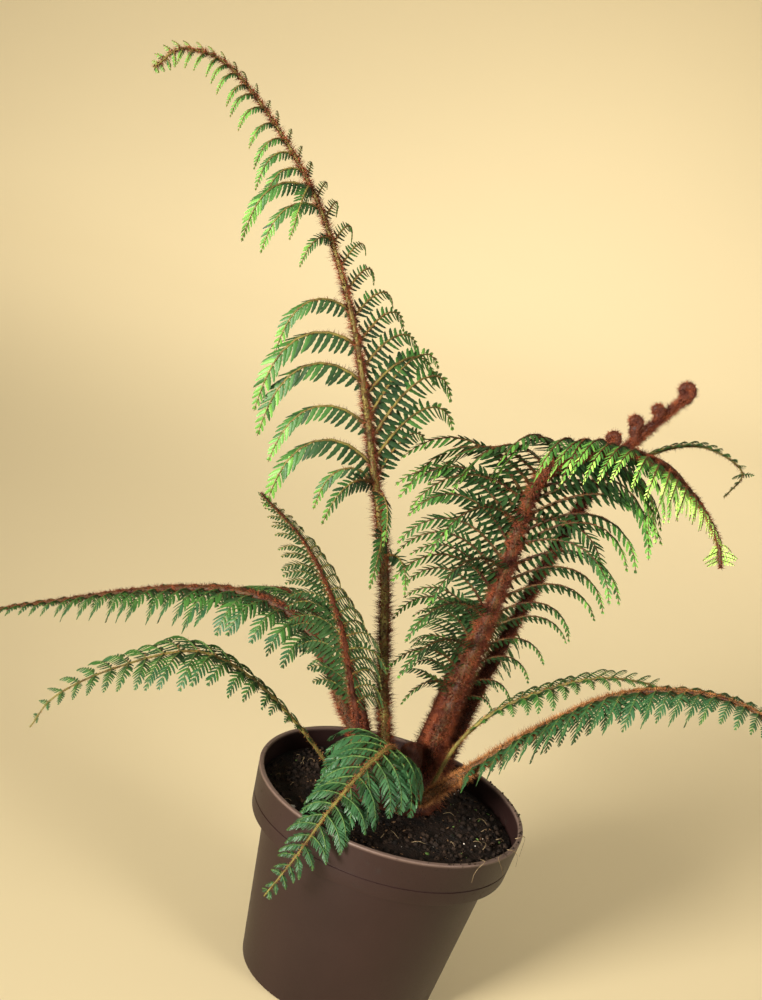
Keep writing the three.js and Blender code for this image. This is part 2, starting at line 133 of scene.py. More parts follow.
def hairFinish(name, dark, light):
    finish = Finish(name, {"Specular IOR Level": 0.3})
    tufts = finish.speckle(scale=140, detail=2)
    finish.feed("Base Color", finish.blend(finish.between(tufts, 0.35, 0.65), dark, light))
    finish.feed("Roughness", 0.4 + 0.3 * tufts)
    return finish.material


leafTints = {  # the greens that are dealt out leaflet by leaflet, with a roughness each
    "dark": leafFinish("leafDark", (0.008, 0.028, 0.007), (0.020, 0.058, 0.013), 0.5),
    "mid": leafFinish("leafMid", (0.021, 0.074, 0.012), (0.046, 0.136, 0.022), 0.48),
    "bright": leafFinish("leafBright", (0.075, 0.205, 0.028), (0.135, 0.310, 0.048), 0.48),
    # the pale tint is a painted highlight, a yellow-white green for the brightly lit tip of the big
    # frond
    "pale": leafFinish("leafPaleHighlight", (0.230, 0.500, 0.060), (0.480, 0.700, 0.160), 0.5),
    "blue": leafFinish("leafBlue", (0.016, 0.060, 0.020), (0.037, 0.114, 0.038), 0.42),
}
stalks = {
    "russet": stalkFinish("stalkRusset", (0.022, 0.006, 0.003), (0.075, 0.020, 0.008), 0.12),
    "olive": stalkFinish("stalkOlive", (0.060, 0.042, 0.010), (0.180, 0.150, 0.035), 0.2),
    "fresh": stalkFinish("stalkFresh", (0.026, 0.062, 0.014), (0.085, 0.150, 0.036), 0.2),
    "mixed": stalkFinish("stalkMixed", (0.030, 0.008, 0.004), (0.085, 0.048, 0.014), 0.1),
}
hairTints = {
    "red": hairFinish("hairRed", (0.070, 0.012, 0.005), (0.250, 0.058, 0.017)),
    "tan": hairFinish("hairTan", (0.180, 0.055, 0.015), (0.460, 0.200, 0.060)),
    "maroon": hairFinish("hairMaroon", (0.040, 0.008, 0.005), (0.150, 0.030, 0.015)),
}
print("finishes ready")


class Sheaf:  # gathers many small shapes into the arrays of one mesh
    def __init__(self):
        self.points, self.faces, self.size = [], [], 0

    def add(self, points, faces):  # points: one row of corners for each copy
        copies, corners = points.shape[:2]
        for k in range(copies):
            start = self.size + k * corners
            self.faces.extend([[start + i for i in face] for face in faces])
        self.points.append(points.reshape(-1, 3))
        self.size += copies * corners

    def piece(self, name, material, slot, nodes):
        mesh = bpy.data.meshes.new(name)
        mesh.from_pydata(np.vstack(self.points).tolist(), [], self.faces)
        return settle(name, mesh, material, nodes)


def linked(name, data):
    made = bpy.data.objects.new(name, data)
    bpy.context.scene.collection.objects.link(made)
    return made


def meshOf(name, bm):
    mesh = bpy.data.meshes.new(name)
    bm.to_mesh(mesh)
    bm.free()
    return mesh


def smooth(mesh):
    mesh.polygons.foreach_set("use_smooth", [True] * len(mesh.polygons))


def settle(name, mesh, material, nodes):
    smooth(mesh)
    mesh.materials.append(material)
    piece = linked(name, mesh)
    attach(piece, "root")
    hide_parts(*nodes)
    return piece


def pattern(bm):  # the corners and faces of a small shape, to be copied many times
    bm.verts.index_update()
    corners = np.array([v.co[:] for v in bm.verts])
    faces = [[v.index for v in face.verts] for face in bm.faces]
    bm.free()
    return corners, faces


def tubePattern(rings, sides):  # a closed round bar, 1 long and of radius 1
    bm = bmesh.new()
    bmesh.ops.create_cone(bm, cap_ends=True, segments=sides, radius1=1, radius2=1, depth=1)
    uprights = [e for e in bm.edges if abs(e.verts[0].co.z - e.verts[1].co.z) > 0.5]
    bmesh.ops.subdivide_edges(bm, edges=uprights, cuts=rings - 1, use_grid_fill=True)
    bmesh.ops.translate(bm, verts=bm.verts, vec=(0, 0, 0.5))
    return pattern(bm)


leaflet = {"lobes": 4, "notch": 0.8, "crown": 0.2, "foot": 1.15, "waist": 0.82}


def leafletPattern():  # a lobed blade from x = 0 to 1, half a unit wide each way, folded at its midrib
    bm = bmesh.new()
    bmesh.ops.create_grid(bm, x_segments=2 * leaflet["lobes"], y_segments=2, size=0.5)
    for v in bm.verts:
        part, hand = v.co.x + 0.5, round(v.co.y * 2)
        step = round(part * 2 * leaflet["lobes"])
        body = leaflet["waist"] + (leaflet["foot"] - leaflet["waist"]) * max(0, 1 - 5 * part)
        breadth = body * (1 - part ** 3) ** 0.55
        lobe = 1 if step % 2 else leaflet["notch"]
        v.co.x = part
        v.co.y = hand * 0.5 * breadth * lobe
        v.co.z = -leaflet["crown"] * abs(hand) * breadth
    bmesh.ops.remove_doubles(bm, verts=bm.verts, dist=0.001)
    return pattern(bm)


def hairPattern():  # a three-sided bristle, 1 long and of radius 1 at its root
    bm = bmesh.new()
    bmesh.ops.create_cone(bm, cap_ends=True, segments=3, radius1=1, radius2=0, depth=1)
    bmesh.ops.translate(bm, verts=bm.verts, vec=(0, 0, 0.5))
    return pattern(bm)


leafShape = leafletPattern()
hairShape = hairPattern()
ribShape = tubePattern(9, 5)


def unit(rows):
    return rows / np.maximum(np.linalg.norm(rows, axis=-1, keepdims=True), 1e-9)


# Paths and lengths are in millimetres. heading, turn and tipBack set how the upper face lies.
# Where a side has its own list, each entry is a pinna's share of the path and its length.
# level turns the blade of a side's pinnae up to the sky; rise lifts them where they leave the rachis.
# tints run from the foot of a pinna to its tip, and glow moves them towards the last ones.
# What a frond doesn't state is as usual.
usual = {"turn": 0, "tipBack": -0.8, "fall": 0.9, "angle": (62, 62), "sides": (1, 1), "fill": 0.9,
         "level": (0.3, 0.3), "glow": (0.0, 0.3), "rib": "fresh", "wild": 1, "loose": []}
fronds = [
    {"name": "big_frond", "heading": -88, "turn": 40, "tipBack": 0.6,
     "path": [(18, 20, 148), (20, 22, 205), (25, 25, 262), (28, 27, 320), (28, 25, 372), (37, 5, 402),
              (60, -22, 425), (85, -50, 437), (115, -72, 430), (138, -86, 413), (147, -93, 395)],
     "radii": (9, 1.2), "leafFrom": 0.13, "pairs": 40, "crowd": 1.5, "pinna": 112, "first": 0.3,
     "peak": 0.34, "fall": 1.5, "angle": (42, 64), "sag": (2.7, 2.7), "rise": 0.25, "sides": (1.02, 1),
     "level": (0.8, 0.25), "fill": 0.85, "pinnule": 0.115, "step": (2.2, 0.024),
     # glow carries the big frond's last leaflets into the pale tint, a painted highlight on its lit tip
     "tints": ("dark", "dark", "mid", "bright", "pale"), "glow": (-0.12, 0.85), "stalk": "mixed",
     "hairs": (90, 12), "hairLong": (7.5, 2.6), "hair": "red", "rib": "mixed", "ribHairs": 5,
     "loose": [(0.17, 62, (-0.6, -0.6, 0.6)), (0.2, 74, (-0.7, -0.3, 0.7)),
               (0.24, 82, (-0.55, -0.7, 0.6)), (0.27, 86, (-0.8, 0.2, 0.7)),
               (0.3, 92, (-0.6, -0.6, 0.6)), (0.34, 96, (-0.7, -0.3, 0.8)),
               (0.38, 98, (-0.5, -0.7, 0.6)), (0.42, 96, (-0.7, 0.3, 0.7)),
               (0.46, 92, (-0.6, -0.6, 0.6)), (0.5, 100, (-0.8, -0.3, 0.5)),
               (0.43, 96, (0.75, -0.2, 0.6)), (0.47, 90, (0.8, 0.1, 0.4))]},
    {"name": "tall_frond", "heading": 85, "turn": 85, "tipBack": 0.6,
     "path": [(-8, 22, 150), (-28, 30, 205), (-52, 40, 285), (-80, 48, 350), (-125, 60, 445),
              (-177, 67, 520), (-242, 60, 577), (-278, 45, 585), (-293, 35, 568)],
     "radii": (6, 0.9),
     "left": [(0.362, 62), (0.381, 114), (0.43, 92), (0.484, 104), (0.53, 106), (0.572, 82),
              (0.70, 68), (0.722, 75), (0.748, 50), (0.77, 46), (0.79, 40), (0.812, 34), (0.833, 31),
              (0.853, 32), (0.868, 29), (0.884, 27), (0.90, 24), (0.915, 22), (0.93, 20), (0.945, 18),
              (0.958, 15), (0.97, 12), (0.98, 10), (0.99, 7), (0.997, 5)],
     "right": [(0.366, 80), (0.388, 98), (0.413, 108), (0.44, 100), (0.468, 90), (0.50, 80),
               (0.53, 72), (0.562, 62), (0.595, 54), (0.625, 48), (0.655, 44), (0.685, 40), (0.712, 34),
               (0.738, 28), (0.762, 24), (0.785, 22), (0.808, 20), (0.83, 19), (0.85, 18), (0.868, 17),
               (0.886, 16), (0.903, 15), (0.918, 14), (0.933, 13), (0.947, 11), (0.96, 10), (0.972, 8),
               (0.983, 7), (0.993, 5)],
     "pairs": 0, "angle": (34, 66), "sag": (4.9, 2.9), "rise": 0.25, "level": (0.9, 0.2),
     "fill": 0.96, "pinnule": 0.13, "step": (2.6, 0.026),
     "tints": ("dark", "mid", "bright", "bright"), "glow": (-0.1, 0.35), "stalk": "olive",
     "hairs": (34, 14), "hairLong": (6.5, 3.2), "hair": "red", "rib": "olive", "ribHairs": 4.5,
     "loose": [(0.73, 62, (0.05, -0.8, 0.1)), (0.36, 66, (-0.4, -0.7, 0.35)),
               (0.35, 58, (0.35, -0.8, 0.3)), (0.66, 44, (-0.3, -0.7, 0.3)),
               (0.3, 60, (0.1, -0.8, 0.3)), (0.27, 52, (0.4, -0.6, 0.5))]},
    {"name": "young_frond", "heading": -60, "tipBack": 0.6,
     "path": [(28, 42, 148), (35, 46, 217), (47, 52, 282), (57, 57, 335), (70, 65, 387), (87, 70, 422),
              (108, 76, 455)],
     "radii": (7, 3.2), "pairs": 0, "stalk": "russet", "hairs": (40, 60), "hairLong": (5.5, 4),
     "hair": "red", "nodes": ["young_frond_stipe"]},
    {"name": "young_frond_pinna", "heading": -20, "turn": -30, "tipBack": 0.6,
     "path": [(87, 66, 403), (106, 64, 421), (127, 60, 431), (147, 56, 430), (160, 54, 422),
              (153, 52, 404)],
     "radii": (1.8, 0.6), "leafFrom": 0.02, "pairs": 16, "crowd": 1.1, "pinna": 17, "first": 0.8,
     "peak": 0.3, "fall": 0.7, "angle": (66, 66), "sag": (2, 2), "rise": 0.4,
     "pinnule": 0.3, "step": (2.2, 0.03),
     "tints": ("dark", "dark", "mid"), "glow": (0.0, 0.4), "stalk": "olive",
     "hairs": (8, 3), "hairLong": (3, 1.5), "hair": "maroon", "ribHairs": 0.4},
    {"name": "left_frond", "heading": 165,
     "path": [(-15, 20, 148), (-47, 25, 180), (-72, 30, 212), (-105, 40, 232), (-150, 55, 230),
              (-212, 72, 205), (-280, 90, 167), (-328, 101, 139), (-342, 105, 120)],
     "radii": (7, 0.9), "leafFrom": 0.24, "pairs": 25, "crowd": 1.15, "pinna": 50, "first": 0.8,
     "peak": 0.25, "fall": 0.8, "angle": (74, 88), "sag": (3.4, 3.4), "rise": 0.3,
     "level": (0, 0), "fill": 1.0, "pinnule": 0.24, "step": (2.8, 0.02),
     "tints": ("dark", "mid", "blue", "mid"), "stalk": "mixed",
     "hairs": (40, 9), "hairLong": (5, 2), "hair": "red", "ribHairs": 1.2},
    {"name": "right_frond", "heading": -25,
     "path": [(20, -7, 148), (47, -15, 187), (70, -22, 220), (90, -32, 247), (115, -45, 277),
              (145, -57, 297), (178, -74, 310), (206, -83, 309), (222, -88, 293), (226, -92, 271)],
     "radii": (5.5, 0.9), "leafFrom": 0.14, "pairs": 27, "crowd": 1.2, "pinna": 50, "first": 0.6,
     "peak": 0.35, "angle": (70, 84), "sag": (3.2, 3.2), "rise": 0.3,
     "level": (0, 0), "fill": 1.0, "pinnule": 0.23, "step": (2.6, 0.02),
     "tints": ("dark", "blue", "blue", "mid"), "stalk": "mixed",
     "hairs": (40, 9), "hairLong": (5, 2), "hair": "tan", "ribHairs": 1.2},
    {"name": "upright_frond", "heading": -110, "tipBack": 0.6,
     "path": [(-20, 8, 148), (-47, 5, 207), (-70, -12, 262), (-102, -35, 310), (-137, -60, 342)],
     "radii": (4.5, 0.8), "leafFrom": 0.2, "pairs": 22, "crowd": 1.3, "pinna": 50, "first": 0.9,
     "peak": 0.25, "fall": 1.0, "angle": (58, 58), "sag": (1.7, 1.7), "rise": 0.15,
     "level": (0, 0), "fill": 1.0, "pinnule": 0.2, "step": (2.6, 0.025),
     "tints": ("dark", "dark", "mid"), "glow": (-0.1, 0.1), "stalk": "russet",
     "hairs": (22, 4), "hairLong": (5, 2), "hair": "red", "rib": "olive", "ribHairs": 1.5},
    {"name": "low_left_frond", "heading": 205,
     "path": [(-42, 30, 130), (-75, 22, 160), (-120, 7, 192), (-160, -7, 202), (-205, -30, 182),
              (-235, -49, 158), (-245, -57, 134)],
     "radii": (2.2, 0.7), "leafFrom": 0.1, "pairs": 20, "crowd": 1, "pinna": 44, "first": 0.25,
     "peak": 0.5, "sag": (2, 2), "rise": 0.3,
     "level": (0, 0), "fill": 1.0, "pinnule": 0.22, "step": (2.4, 0.03),
     "tints": ("dark", "mid", "blue", "mid"), "stalk": "olive",
     "hairs": (3, 1), "hairLong": (2.2, 1.2), "hair": "tan", "ribHairs": 0.5},
    {"name": "front_frond", "heading": 240,
     "path": [(-2, 0, 148), (-8, -22, 186), (-18, -50, 186), (-34, -82, 160), (-46, -104, 130),
              (-58, -112, 100)],
     "radii": (3, 0.7), "leafFrom": 0.18, "pairs": 19, "crowd": 1.1, "pinna": 54, "first": 1,
     "peak": 0.1, "fall": 1.05, "sag": (2.6, 2.6), "rise": 0.1,
     "wild": 3, "fill": 1.1, "pinnule": 0.21, "step": (2.0, 0.02),
     "tints": ("dark", "blue", "blue", "mid"), "glow": (0.0, 0.2), "stalk": "olive",
     "hairs": (14, 1), "hairLong": (3.5, 1.5), "hair": "tan", "ribHairs": 0.4},
    {"name": "low_right_frond", "heading": -10, "tipBack": 0.6,
     "path": [(24, 12, 148), (33, 8, 192), (52, 6, 225), (80, 4, 252), (110, 0, 272), (142, -4, 280),
              (170, -8, 277)],
     "radii": (2.4, 0.7), "leafFrom": 0.25, "pairs": 18, "crowd": 1.1, "pinna": 34, "first": 0.35,
     "peak": 0.35, "sag": (1.8, 1.8), "rise": 0.35,
     "pinnule": 0.2, "step": (2.0, 0.03),
     "tints": ("dark", "mid", "mid"), "glow": (0.0, 0.2), "stalk": "olive",
     "hairs": (5, 2), "hairLong": (2.5, 1.5), "hair": "tan", "ribHairs": 0.6},
    {"name": "back_frond", "heading": 85,
     "path": [(6, 34, 148), (12, 75, 190), (16, 125, 222), (22, 190, 230), (28, 250, 205),
              (32, 280, 172)],
     "radii": (4.5, 0.8), "leafFrom": 0.22, "pairs": 24, "crowd": 1.2, "pinna": 56, "first": 0.7,
     "peak": 0.3, "sag": (2, 2), "rise": 0.25,
     "pinnule": 0.15, "step": (2.3, 0.025),
     "tints": ("dark", "mid", "mid"), "stalk": "russet",
     "hairs": (18, 3), "hairLong": (5, 2), "hair": "red", "ribHairs": 1.0},
    {"name": "back_left_frond", "heading": 125,
     "path": [(-20, 34, 148), (-46, 72, 180), (-80, 118, 200), (-125, 172, 200), (-165, 218, 172),
              (-180, 236, 148)],
     "radii": (4, 0.8), "leafFrom": 0.22, "pairs": 24, "crowd": 1.2, "pinna": 46, "first": 0.7,
     "peak": 0.3, "sag": (2, 2), "rise": 0.25,
     "pinnule": 0.15, "step": (2.3, 0.025),
     "tints": ("dark", "mid", "mid"), "stalk": "russet",
     "hairs": (16, 3), "hairLong": (5, 2), "hair": "red", "ribHairs": 1.0},
]
fronds = [{**usual, **frond} for frond in fronds]


def layPath(frond):  # a smooth curve through the path's points, with its shares of the length
    knots = np.array(frond["path"], float) / 1000
    knots = np.vstack([2 * knots[0] - knots[1], knots, 2 * knots[-1] - knots[-2]])
    t = np.linspace(0, 1, 40, endpoint=False)[:, None]
    points = [
        (2 * t ** 3 - 3 * t ** 2 + 1) * b + (t ** 3 - 2 * t ** 2 + t) * (c - a) / 2
        + (3 * t ** 2 - 2 * t ** 3) * c + (t ** 3 - t ** 2) * (d - b) / 2
        for a, b, c, d in zip(knots, knots[1:], knots[2:], knots[3:])
    ]
    points = np.vstack([*points, knots[-2:-1]])
    walked = np.concatenate([[0], np.cumsum(np.linalg.norm(np.diff(points, axis=0), axis=1))])
    frond["line"], frond["length"], frond["shares"] = points, walked[-1], walked / walked[-1]


def ramp(pair, share):  # from the pair's first value to its second
    return pair[0] + (pair[1] - pair[0]) * share


def sideOf(frond, key, hand):  # the left side is -1, the right side 1
    return frond[key][0 if hand < 0 else 1]


def readAt(rows, ticks, t):  # rows of three, read between their ticks
    return np.stack([np.interp(t, ticks, rows[:, k]) for k in range(3)], -1)


def along(frond, s):  # places on the rachis, with the ways along it, across it and out of its face
    s = np.atleast_1d(np.clip(s, 0, 1))
    reach = 0.004  # how far before and after each place the way ahead is taken
    before, spots, after = [
        readAt(frond["line"], frond["shares"], share)
        for share in (np.maximum(s - reach, 0), s, np.minimum(s + reach, 1))
    ]
    ahead = unit(after - before)
    angle = np.radians(frond["heading"] + frond["turn"] * s ** 3)
    back = ramp((0.6, frond["tipBack"]), s ** 3)
    face = np.stack([-back * np.cos(angle), -back * np.sin(angle), np.ones_like(s)], 1)
    side = unit(np.cross(ahead, face))
    return spots, ahead, side, np.cross(side, ahead)


def stalkRadius(frond, s):
    foot, tip = frond["radii"]
    return (tip + (foot - tip) * (1 - s) ** 1.3) / 1000


def pinnaPlaces(frond, hand):  # each pinna's share of the path and its length
    own = frond.get("left" if hand < 0 else "right")
    if own:
        return [(s, length / 1000) for s, length in own]
    places = []
    last, tipSize = 0.99, 0.08  # where the last pinna stands, and its share of the longest one
    for i in range(frond["pairs"]):
        u = (i + 0.5) / frond["pairs"]
        s = frond["leafFrom"] + (last - frond["leafFrom"]) * (1 - (1 - u) ** frond["crowd"])
        if u < frond["peak"]:
            share = frond["first"] + (1 - frond["first"]) * math.sin(u / frond["peak"] * math.pi / 2)
        else:
            fallen = (u - frond["peak"]) / (1 - frond["peak"])
            share = tipSize + (1 - tipSize) * (1 - fallen) ** frond["fall"]
        places.append((s, frond["pinna"] * share * sideOf(frond, "sides", hand) / 1000))
    return places


# angles in degrees and lengths in metres; pairs of numbers are the limits of a random draw
midrib = {"steps": 24, "spreadAngle": 4, "limpFrom": 0.036, "sag": (0.85, 1.12), "levelling": 1.6,
          "twist": 0.1, "size": (0.93, 1.05), "tip": 0.00022, "thick": 0.0003, "thickening": 0.009}


def pinnaLine(frond, s, length, hand, start=None):  # a midrib that leaves the rachis and arches over
    wild = frond["wild"]
    steps = midrib["steps"]
    spot, ahead, side, normal = [rows[0] for rows in along(frond, s)]
    angle = math.radians(ramp(frond["angle"], s) + dice.normal(0, midrib["spreadAngle"]) * wild)
    limp = min(1, length / midrib["limpFrom"]) ** 1.2
    sag = sideOf(frond, "sag", hand) * limp * dice.uniform(*midrib["sag"])
    way = unit(math.cos(angle) * ahead + hand * math.sin(angle) * side + frond["rise"] * upwards)
    way = way if start is None else unit(np.array(start))
    levelled = normal + sideOf(frond, "level", hand) * upwards * midrib["levelling"]
    face = unit(levelled + dice.normal(0, midrib["twist"], 3) * wild)
    spots, ways, crosses = [], [], []
    for k in range(steps + 1):
        spots.append(spot)
        ways.append(way)
        crosses.append(unit(np.cross(way, face)) * hand)
        way = unit(way - upwards * sag * (0.25 + 1.5 * k / steps) / steps)  # it bends more and more
        spot = spot + way * length / steps
    spots, ways, crosses = np.array(spots), np.array(ways), np.array(crosses)
    return {"spots": spots, "ways": ways, "across": crosses, "lift": np.cross(crosses, ways) * hand}


def stations(line, t):  # a midrib's places and ways at shares t of its length
    ticks = np.linspace(0, 1, len(line["spots"]))
    return [readAt(line[key], ticks, t) for key in ("spots", "ways", "across", "lift")]


def tubeOn(shape, spots, across, radii, bumps=None):  # a round bar laid along a line of places
    corners, _ = shape
    lift = unit(np.cross(np.gradient(spots, axis=0), across))  # this way round, its faces look outward
    ticks = np.linspace(0, 1, len(spots))
    t = corners[:, 2]
    at, right, out = [readAt(rows, ticks, t) for rows in (spots, across, lift)]
    radius = np.interp(t, ticks, radii)[:, None]
    if bumps is not None:
        radius = radius * bumps[:, None]
    return (at + right * corners[:, :1] * radius + out * corners[:, 1:2] * radius)[None]


def bristles(spots, ways, bends, lengths, thickness):  # one bristle for each row
    corners, _ = hairShape
    first = unit(np.cross(ways, upwards + 0.3 * ways[:, ::-1]))
    second = np.cross(ways, first)
    x, y, z = corners[:, 0], corners[:, 1], corners[:, 2]
    grow = lengths[:, None, None]
    return (spots[:, None] + ways[:, None] * z[None, :, None] * grow
            + first[:, None] * x[None, :, None] * thickness
            + second[:, None] * y[None, :, None] * thickness
            + bends[:, None] * (z ** 2)[None, :, None] * grow)


# how leaflets stand: fewest and most pairs, angle to the midrib at its foot and how much it closes
# towards the tip, droop, shortest length in metres and the spread of each random draw
stand = {"pairs": (4, 21), "angle": 78, "closing": 26, "spreadAngle": 5, "droop": 0.12,
         "levelDroop": 0.55, "anyDroop": 0.2, "turnUp": 0.7, "twist": 0.16, "shortest": 0.0026,
         "long": (0.88, 1.12), "thinFrom": 0.5, "thinOver": 0.2, "thin": 0.25, "tintSpread": 0.07}


def growLeaflets(frond, line, length, hand, s, sheaves):
    # pairs of leaflets down a midrib, each tinted by how far out and how far up the frond it is
    start, slope = frond["step"]
    low, high = stand["pairs"]
    beyond = min(1, max(0, s - stand["thinFrom"]) / stand["thinOver"])
    dense = 1 - stand["thin"] * beyond  # leaflets stand closer towards the frond's tip
    pairs = max(low, min(high, round(length * 1000 / ((start + slope * length * 1000) * dense))))
    u = (np.arange(pairs) + 0.45 + dice.uniform(-0.1, 0.1, pairs)) / pairs
    profile = np.minimum(1, 0.62 + 2.4 * u) * (1.02 - u ** 1.8) ** 0.75
    reach = max(frond["pinnule"] * length, stand["shortest"]) * profile
    broad = (length / pairs * frond["fill"] * (0.5 + 0.5 * profile))[:, None, None]
    tints = frond["tints"]
    glow = ramp(frond["glow"], s ** 4)
    at, ways, across, lift = stations(line, u)
    flat = np.sqrt(np.maximum(0, 1 - ways[:, 2:] ** 2))  # 1 where the midrib is level, 0 where it hangs
    steady = stand["droop"] + stand["levelDroop"] * sideOf(frond, "level", hand)
    corners, faces = leafShape
    x, y, z = [corners[None, :, k, None] for k in range(3)]
    for flank in (-1, 1):
        turn = stand["angle"] - stand["closing"] * u + dice.normal(0, stand["spreadAngle"], pairs)
        angle = np.radians(turn)[:, None]
        droop = flat * (steady + stand["anyDroop"] * dice.random(pairs)[:, None])
        out = unit(np.cos(angle) * ways + flank * np.sin(angle) * across - droop * upwards)
        twist = dice.normal(0, stand["twist"], (pairs, 3)) * frond["wild"]
        face = unit(lift + stand["turnUp"] * flat * upwards + twist)
        wide = unit(np.cross(face, out))
        face = np.cross(out, wide)
        long = (reach * dice.uniform(*stand["long"], pairs))[:, None, None]
        sweep = (0.3 * ways[:, None] - 0.2 * upwards) * x ** 2 * long
        rows = (at[:, None] + out[:, None] * x * long + wide[:, None] * y * broad
                + face[:, None] * z * broad + sweep)
        score = (0.75 * u + glow + dice.normal(0, stand["tintSpread"], pairs)) * len(tints)
        picked = np.clip(score, 0, len(tints) - 1).astype(int)
        for number in np.unique(picked):
            sheaves.setdefault(tints[number], Sheaf()).add(rows[picked == number], faces)


def frondNodes(frond):  # the CAD nodes of its stalk, and those of its blade
    start = frond["name"] + "_"
    mine = frond.get("nodes") or [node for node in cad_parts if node.startswith(start)]
    stalk = [node for node in mine if node.endswith(("_stipe", "_stem"))] or mine
    return stalk, [node for node in mine if node not in stalk] or mine


rachis = {"slim": 0.66, "ring": 0.0025, "knob": 0.3, "knobLong": 0.003, "stoutFrom": 4,
          "sides": (10, 16)}


def growRachis(frond, knots, nodes):  # fibrous, with a knob at each pair of pinnae
    slender, stout = rachis["sides"]
    sides = stout if frond["radii"][0] > rachis["stoutFrom"] else slender
    shape = tubePattern(int(frond["length"] / rachis["ring"]), sides)
    s = np.linspace(0, 1, 160)
    spots, _, side, _ = along(frond, s)
    radii = stalkRadius(frond, s) * rachis["slim"]
    for knot, _ in knots:
        far = (s - knot) * frond["length"] / rachis["knobLong"]
        radii = radii * (1 + rachis["knob"] * np.exp(-far ** 2))
    bumps = []
    for x, y, z in shape[0]:
        down = z * frond["length"]
        bumps.append(1 + 0.1 * noise.noise(Vector((2.2 * x, 2.2 * y, 30 * down)))
                     + 0.05 * noise.noise(Vector((5 * x, 5 * y, 160 * down))))
    stalk = Sheaf()
    stalk.add(tubeOn(shape, spots, side, radii, np.array(bumps)), shape[1])
    stalk.piece(frond["name"] + "_rachis", stalks[frond["stalk"]], "stipe", nodes)


# lengths in metres; pairs are the limits of a random draw, and spread and curl its widths
stalkHair = {"thick": 0.00021, "forward": 0.35, "spread": 0.28, "curl": 0.22, "hang": 0.1,
             "long": (0.5, 1.15), "root": 0.6}
ribHair = {"thick": 0.00016, "forward": 0.3, "curl": 0.2, "long": (0.6, 1.2), "tip": 0.7, "foot": 3.6,
           "fullFrom": 0.05, "thinFrom": 0.6, "gather": 2.4, "last": 0.9}


def stalkHairs(frond):  # the bristles of the stipe and rachis
    foot, tip = frond["hairs"]  # bristles in each millimetre
    total = int(frond["length"] * 1000 * (foot + tip) / 2)
    draw = dice.random(total)
    where = draw
    if foot != tip:
        where = (foot - np.sqrt(foot ** 2 - draw * (foot ** 2 - tip ** 2))) / (foot - tip)
    spots, ahead, side, normal = along(frond, where)
    turn = dice.random(total)[:, None] * 2 * math.pi
    radial = np.cos(turn) * side + np.sin(turn) * normal
    spread = dice.normal(0, stalkHair["spread"], (total, 3))
    ways = unit(radial + stalkHair["forward"] * ahead + spread)
    bends = dice.normal(0, stalkHair["curl"], (total, 3)) - stalkHair["hang"] * upwards
    lengths = ramp(frond["hairLong"], where) / 1000 * dice.uniform(*stalkHair["long"], total)
    roots = spots + radial * stalkRadius(frond, where)[:, None] * stalkHair["root"]
    return bristles(roots, ways, bends, lengths, stalkHair["thick"])


def ribHairs(frond, line, size, s):  # the bristles of one midrib, thick at its foot
    share = 1 if s < ribHair["thinFrom"] else 0.5
    count = int(size * 1000 * frond["ribHairs"] * share)
    t = dice.random(count) ** ribHair["gather"] * ribHair["last"]
    at, ahead, across, lift = stations(line, t)
    turn = dice.uniform(-1, 1, count)[:, None] * math.pi
    ways = unit(np.cos(turn) * across + np.sin(turn) * lift + ribHair["forward"] * ahead)
    longest = ribHair["tip"] + ribHair["foot"] * (1 - t) ** 2 * min(1, size / ribHair["fullFrom"])
    lengths = longest / 1000 * dice.uniform(*ribHair["long"], count)
    return bristles(at, ways, dice.normal(0, ribHair["curl"], (count, 3)), lengths, ribHair["thick"])


def growFrond(frond):
    layPath(frond)
    name = frond["name"]
    stalkNodes, bladeNodes = frondNodes(frond)
    left, right = pinnaPlaces(frond, -1), pinnaPlaces(frond, 1)
    loose = [(s, length / 1000, start) for s, length, start in frond["loose"]]
    growRachis(frond, left, stalkNodes)
    hairs, ribs, sheaves = Sheaf(), Sheaf(), {}
    hairs.add(stalkHairs(frond), hairShape[1])
    for hand, places in ((-1, left), (1, right), (1, loose)):
        for s, length, *start in places:
            size = length * dice.uniform(*midrib["size"])
            line = pinnaLine(frond, s, size, hand, *start)
            stout = midrib["thick"] + midrib["thickening"] * size
            radii = np.linspace(stout, midrib["tip"], len(line["spots"]))
            ribs.add(tubeOn(ribShape, line["spots"], line["across"], radii), ribShape[1])
            growLeaflets(frond, line, size, hand, s, sheaves)
            hairs.add(ribHairs(frond, line, size, s), hairShape[1])
    hairs.piece(name + "_hairs", hairTints[frond["hair"]], "scales", stalkNodes)
    if ribs.size:
        ribs.piece(name + "_midribs", stalks[frond["rib"]], "foliage", bladeNodes)
    for tint, sheaf in sheaves.items():
        sheaf.piece(f"{name}_leaflets_{tint}", leafTints[tint], "foliage", bladeNodes)
    print(name, "grown")


for frond in fronds:
    growFrond(frond)


# the coiled tip of the young frond and its coiled buds; foot is where each leaves that frond's stem
coils = {
    "coil": {"turns": 1.5, "thick": 4.6, "hairs": 2600, "start": -60, "grow": 1.08, "foot": 1},
    "bud_1": {"turns": 1.2, "thick": 4.6, "hairs": 1300, "start": -80, "grow": 1.25, "foot": 0.8},
    "bud_2": {"turns": 1.2, "thick": 4.5, "hairs": 1300, "start": -80, "grow": 1.3, "foot": 0.87},
    "bud_3": {"turns": 1.1, "thick": 4.3, "hairs": 1200, "start": -80, "grow": 1.3, "foot": 0.94},
}
youngFrond = next(frond for frond in fronds if frond["name"] == "young_frond")
coilAxis = np.array(Vector((0.2, -1, 0.1)).normalized())
coilRight = np.array(Vector((1, 0.2, 0)).normalized())
coilHair = {"spread": 0.35, "curl": 0.25, "long": (1.4, 3.4), "thick": 0.0002, "root": 0.65}
coilSteps = {"neck": 20, "curl": 60, "rings": 56, "sides": 10}


